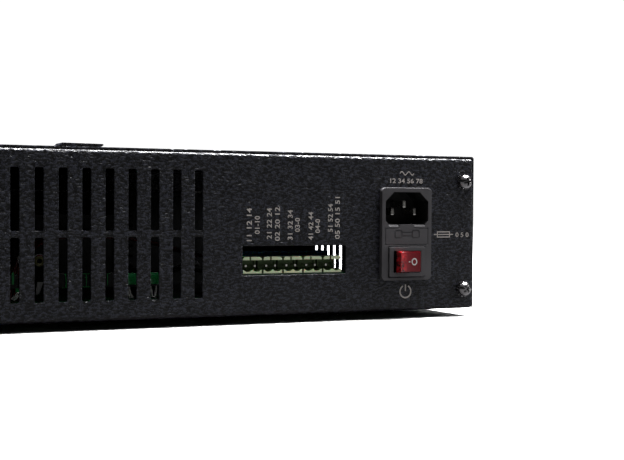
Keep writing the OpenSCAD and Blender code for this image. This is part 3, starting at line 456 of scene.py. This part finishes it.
# terminal numbers over the headers, two columns each: mm from the edge, height of the middle, and length
LABEL_COLUMNS = (
    ("11 12 14", 135.8, 47.5, 17.1), ("01-10", 131.3, 47.3, 9.4),
    ("21 22 24", 124.5, 48.0, 16.2), ("02 20 12", 119.9, 47.8, 17.8),
    ("31 32 34", 112.6, 47.3, 15.8), ("03-0", 108.4, 47.3, 7.4),
    ("41 42 44", 100.6, 46.7, 14.9), ("04-0", 96.6, 46.7, 7.4),
    ("51 52 54", 89.1, 51.0, 15.0), ("05 50 15 51", 84.9, 51.0, 22.5),
)
for i, (text, edge, middle, length) in enumerate(LABEL_COLUMNS):
    numerals(f"terminal_numbers_{i + 1}", text, rear(edge, middle), TERMINAL_DIGIT_MM, length, UP_THE_WALL)

power_sign = [arc(3.8, 118, 422, 40) + arc(3.0, 422, 118, 40), bar(-0.38, 0.2, 0.38, 3.9)]
signs("power_sign", power_sign, rear(44.2, 10.5))
fuse_sign = [(bar(-4.2, -1.7, 4.2, 1.7), bar(-3.7, -1.2, 3.7, 1.2)), bar(-6.2, -0.25, 6.2, 0.25)]
signs("fuse_sign", fuse_sign, rear(20.1, 41.85))
numerals("fuse_number", "0 5 0", rear(7.9, 40.4), INLET_DIGIT_MM, 8.6, ALONG_THE_WALL)
wave = [(x / 10, 0.9 * math.sin(x / 10 * math.pi / 2.2)) for x in range(-44, 45, 2)]
wave_sign = [(x, y + 0.3) for x, y in wave] + [(x, y - 0.3) for x, y in wave[::-1]]
signs("wave_sign", [wave_sign], rear(43.7, 75.6))
numerals("inlet_numbers", "12 34 56 78", rear(44.0, 70.2), INLET_DIGIT_MM, 20.4, ALONG_THE_WALL)

# rocker signs, a dash next to the crease and a ring, sunk a little in the half that lies flat at rest
rocker_face = rear(INLET_EDGE, ROCKER_UP, FLANGE_THICK + BEZEL_PROUD + ROCKER_PROUD - 0.02)
ring_sign = (oval(4.2, 1.75, 2.0), oval(4.2, 1.15, 1.35))
on_rocker = {"material": "mark_white", "body": "rocker", "slot": "rocker_red"}
signs("rocker_ring_sign", [ring_sign], rocker_face, **on_rocker)
signs("rocker_dash_sign", [bar(0.1, -0.3, 1.7, 0.3)], rocker_face - mm(0, 0.04, 0), **on_rocker)

# a pale mark on each pole of the signal strip
strip_dots = [bar(x - 0.3, -0.55, x + 0.3, 0.55) for x in (-24.3 + 5.4 * i for i in range(10))]
signs("strip_dots", strip_dots, rear(101.5, 31.0, -36), material="mark_teal", slot="strip_blue")

# ---- small parts seen through the vents ----

WIRE_SIDES = 8


def tube(name, points, radius_mm, material, closed=False):
    """A round wire through points given in metres; a closed one runs back to its first point."""
    turns = [math.tau * k / WIRE_SIDES for k in range(WIRE_SIDES)]
    bm = bmesh.new()
    n = len(points)
    rings = []
    for i, p in enumerate(points):
        before = points[(i - 1) % n] if closed or i else p
        after = points[(i + 1) % n] if closed or i < n - 1 else p
        along = (after - before).normalized()
        side = along.cross(Vector((0, 1, 0.13))).normalized()
        other = along.cross(side)
        spokes = (side * math.cos(a) + other * math.sin(a) for a in turns)
        rings.append([bm.verts.new(p + spoke * radius_mm * MM) for spoke in spokes])
    for i in range(n if closed else n - 1):
        a, b = rings[i], rings[(i + 1) % n]
        for k in range(WIRE_SIDES):
            beside = (k + 1) % WIRE_SIDES
            bm.faces.new((a[k], a[beside], b[beside], b[k]))
    if not closed:
        bm.faces.new(rings[0])
        bm.faces.new(rings[-1])
    bmesh.ops.recalc_face_normals(bm, faces=bm.faces)
    return add_object(name, bm, material)


def block(bm, x, y, z, round_mm=0.0):
    """Adds a box with rounded edges; x and z in mm as in rear(), y in mm behind the wall."""
    low, high = rear(x[0], z[0], -y[1]), rear(x[1], z[1], -y[0])
    made = bmesh.ops.create_cube(bm, size=1)["verts"]
    for v in made:
        v.co = Vector([low[i] + (v.co[i] + 0.5) * (high[i] - low[i]) for i in range(3)])
    if round_mm:
        edges = {e for v in made for e in v.link_edges}
        bmesh.ops.bevel(bm, geom=list(edges), offset=round_mm * MM, segments=3, profile=0.5, affect="EDGES")


def blocks(name, items, material):
    """One piece of boxes that stands for the film capacitors."""
    bm = bmesh.new()
    for item in items:
        block(bm, *item)
    piece = add_object(name, bm, material)
    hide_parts("film_capacitors")


CAP_WIDE = 9.2
FILM_CAPS_AT, RELAYS_AT = (184, 197.5), (210.5, 223.5, 235, 258.5)


def cap_span(middle, inset=0.0):
    """Where a capacitor or relay starts and ends along the wall."""
    return middle - CAP_WIDE / 2 + inset, middle + CAP_WIDE / 2 - inset


def film_cap_layer(name, inset, deep, up, round_mm, material):
    blocks(name, [(cap_span(at, inset), deep, up, round_mm) for at in FILM_CAPS_AT], material)


film_cap_layer("film_cap_bodies", 0.0, (8, 14), (17.2, 21.9), 0.4, "film_green")
film_cap_layer("film_cap_lids", -0.1, (7.9, 14.1), (21.6, 22.9), 0.3, "cap_lid_green")
film_cap_layer("film_cap_feet", 0.8, (8.6, 13.4), (16.2, 17.3), 0.2, "black_plastic")
blocks("relay_bodies", [(cap_span(at), (8.6, 14), (16.2, 23.4), 0.4) for at in RELAYS_AT], "black_and_recess_shade")

# green ribs on the relays: where each starts and ends along the wall, and up
RIBS = (
    ((209.6, 210.0), (17.2, 23.2)), ((208.6, 209.9), (22.9, 23.2)), ((219.0, 222.3), (22.9, 23.3)),
    ((220.3, 220.7), (16.6, 23.1)), ((218.6, 222.0), (16.4, 16.8)), ((219.9, 221.2), (21.2, 21.5)),
    ((230.5, 230.9), (16.6, 23.4)), ((229.6, 232.6), (16.2, 16.5)), ((230.6, 231.6), (22.9, 23.2)),
    ((255.9, 256.9), (18.6, 24.4)), ((253.6, 255.2), (14.7, 16.6)),
)
blocks("relay_ribs", [(along, (8.2, 8.9), up) for along, up in RIBS], "rib_green")

# tinned leads: places in mm from the edge, up, and behind the wall
LEADS = (
    ((187.0, 17.4, 10.5), (186.7, 14.5, 10.2), (185.9, 10.4, 10)),
    ((183.6, 17.4, 10.5), (184.0, 14.5, 10.2), (184.7, 10.4, 10)),
    ((199.2, 16.6, 10.5), (199.1, 14.6, 10.3), (198.6, 12.6, 10.1), (197.6, 10.4, 10)),
    ((198.2, 16.2, 10.5), (198.0, 14.4, 10.3), (197.3, 12.4, 10.1), (196.3, 10.4, 10)),
    ((253.3, 14.8, 10), (255.0, 12.9, 10), (256.8, 11.2, 10)),
    ((253.3, 13.2, 10), (254.6, 11.8, 10), (255.6, 10.6, 10)),
)
for i, places in enumerate(LEADS):
    wire = tube(f"cap_lead_{i + 1}", [rear(edge, up, -deep) for edge, up, deep in places], 0.5, "lead_tin")
    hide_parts("film_capacitor_leads")


def hoop(name, edge, up, radius_mm, wire_radius_mm, material, start=0, stop=360):
    """A wire bent round a place behind the wall, as a whole ring or from one angle to another."""
    places = [rear(edge - x, up + z, -10) for x, z in arc(radius_mm, start, stop, 20)]
    closed = stop - start == 360
    tube(name, places[:-1] if closed else places, wire_radius_mm, material, closed)


hoop("wire_loop_1", 250.7, 30.6, 3.0, 0.3, "loop_grey")
hoop("wire_loop_2", 243.4, 29.8, 3.1, 0.28, "loop_grey", 20, 160)
hoop("coil_ring", 243.4, 29.6, 1.9, 0.75, "coil_enamel")
hoop("coil_end", 243.4, 30.6, 1.9, 0.45, "wire_red", 50, 130)
lug = bmesh.new()
lug_outline = [(-1.2, 2.9), (-1.9, -3), (-0.4, -3), (0.6, -0.5), (1.8, 2.9)]
prism(lug, lug_outline, rear(243.5, 16.5, -9), ALONG_THE_WALL, thick_mm=0.5)
bmesh.ops.recalc_face_normals(lug, faces=lug.faces)
add_object("wire_lug", lug, "loop_grey")

# ---- stage, light and camera ----

floor = bmesh.new()
bmesh.ops.create_circle(floor, cap_ends=True, segments=96, radius=40)
floor_mesh = bpy.data.meshes.new("floor")
floor.to_mesh(floor_mesh)
floor.free()
floor_object = bpy.data.objects.new("floor", floor_mesh)
bpy.context.scene.collection.objects.link(floor_object)
# white to the camera and dark to the object, so that the coat stays black over a white floor
FLOOR_SEEN, FLOOR_LIT = (0.95, 0.95, 0.95), (0.02, 0.02, 0.02)
paper = Shader("paper_white", FLOOR_SEEN, 0.7)
to_camera = paper.node("ShaderNodeLightPath").outputs["Is Camera Ray"]
paper.tint(paper.blend_colors(to_camera, FLOOR_LIT, FLOOR_SEEN))
floor_mesh.materials.append(paper.material)


def add_light(data, place, toward):
    lamp = bpy.data.objects.new(data.name, data)
    lamp.location = place
    lamp.rotation_euler = Vector(toward).to_track_quat("-Z", "Y").to_euler()
    bpy.context.scene.collection.objects.link(lamp)


def area_light(name, place, aim, size, power):
    """A rectangle of light that looks at a place; power in watts."""
    data = bpy.data.lights.new(name, "AREA")
    data.shape, data.size, data.size_y = "RECTANGLE", *size
    data.energy = power
    add_light(data, place, Vector(aim) - Vector(place))


def sun_light(name, toward, power, spread):
    """Light of one direction from a disc of the sky that is spread degrees wide."""
    data = bpy.data.lights.new(name, "SUN")
    data.energy, data.angle = power, math.radians(spread)
    add_light(data, (0, 0, 0), toward)


area_light("key_light", place=(-0.58, 0.12, 1.1), aim=(-0.58, 0.12, 0), size=(0.94, 0.2), power=118)
area_light("rim_light", place=(-0.5, 0.42, 1.1), aim=(-0.3, 0.2, 0.05), size=(0.9, 0.1), power=6)
area_light("side_light", place=(-1.4, 0.46, 0.4), aim=(-0.2, 0.2, 0.05), size=(0.2, 0.3), power=4)
sun_light("sky_light", toward=(0.1, -0.03, -1), power=3.3, spread=20)

WORLD_SEEN = 1.1  # strength of the white behind the object
WORLD_LIT = ((0.45, 0.008), (1.0, 0.4))  # strength of the light on the object, at two heights of the sky


def build_world():
    """A room that is white to the camera and dark to the object, save for a pale ceiling."""
    world = bpy.data.worlds.new("studio")
    bpy.context.scene.world = world
    world.use_nodes = True
    tree = world.node_tree
    tree.nodes.clear()
    out = tree.nodes.new("ShaderNodeOutputWorld")
    seen, lit = tree.nodes.new("ShaderNodeBackground"), tree.nodes.new("ShaderNodeBackground")
    mix = tree.nodes.new("ShaderNodeMixShader")
    path = tree.nodes.new("ShaderNodeLightPath")
    where = tree.nodes.new("ShaderNodeTexCoord")
    split = tree.nodes.new("ShaderNodeSeparateXYZ")
    height = tree.nodes.new("ShaderNodeMapRange")
    tree.links.new(where.outputs["Generated"], split.inputs[0])
    tree.links.new(split.outputs["Z"], height.inputs["Value"])
    for end, (at, strength) in zip(("Min", "Max"), WORLD_LIT):
        height.inputs["From " + end].default_value = at
        height.inputs["To " + end].default_value = strength
    seen.inputs["Color"].default_value = lit.inputs["Color"].default_value = (1, 1, 1, 1)
    seen.inputs["Strength"].default_value = WORLD_SEEN
    tree.links.new(height.outputs[0], lit.inputs["Strength"])
    tree.links.new(path.outputs["Is Camera Ray"], mix.inputs[0])
    tree.links.new(lit.outputs[0], mix.inputs[1])
    tree.links.new(seen.outputs[0], mix.inputs[2])
    tree.links.new(mix.outputs[0], out.inputs[0])


build_world()

# the photograph's camera, solved from the rear wall's edges, its slots and its window
LENS_MM, SENSOR_MM = 68.66, 36
EYE = rear(367.73, 57.29, 572.85)
LOOK = Vector((-0.4217, -0.9065, -0.0201)).normalized()
UP = Vector((-0.0032, -0.0207, 0.9998))
camera_data = bpy.data.cameras.new("camera")
camera_data.lens, camera_data.sensor_width = LENS_MM, SENSOR_MM
camera_data.clip_start = 0.02
camera = bpy.data.objects.new("camera", camera_data)
right = LOOK.cross(UP).normalized()
up = right.cross(LOOK)
camera.matrix_world = Matrix.Translation(EYE) @ Matrix((right, up, -LOOK)).transposed().to_4x4()
bpy.context.scene.collection.objects.link(camera)
bpy.context.scene.camera = camera
bpy.context.scene.view_settings.view_transform = "Standard"
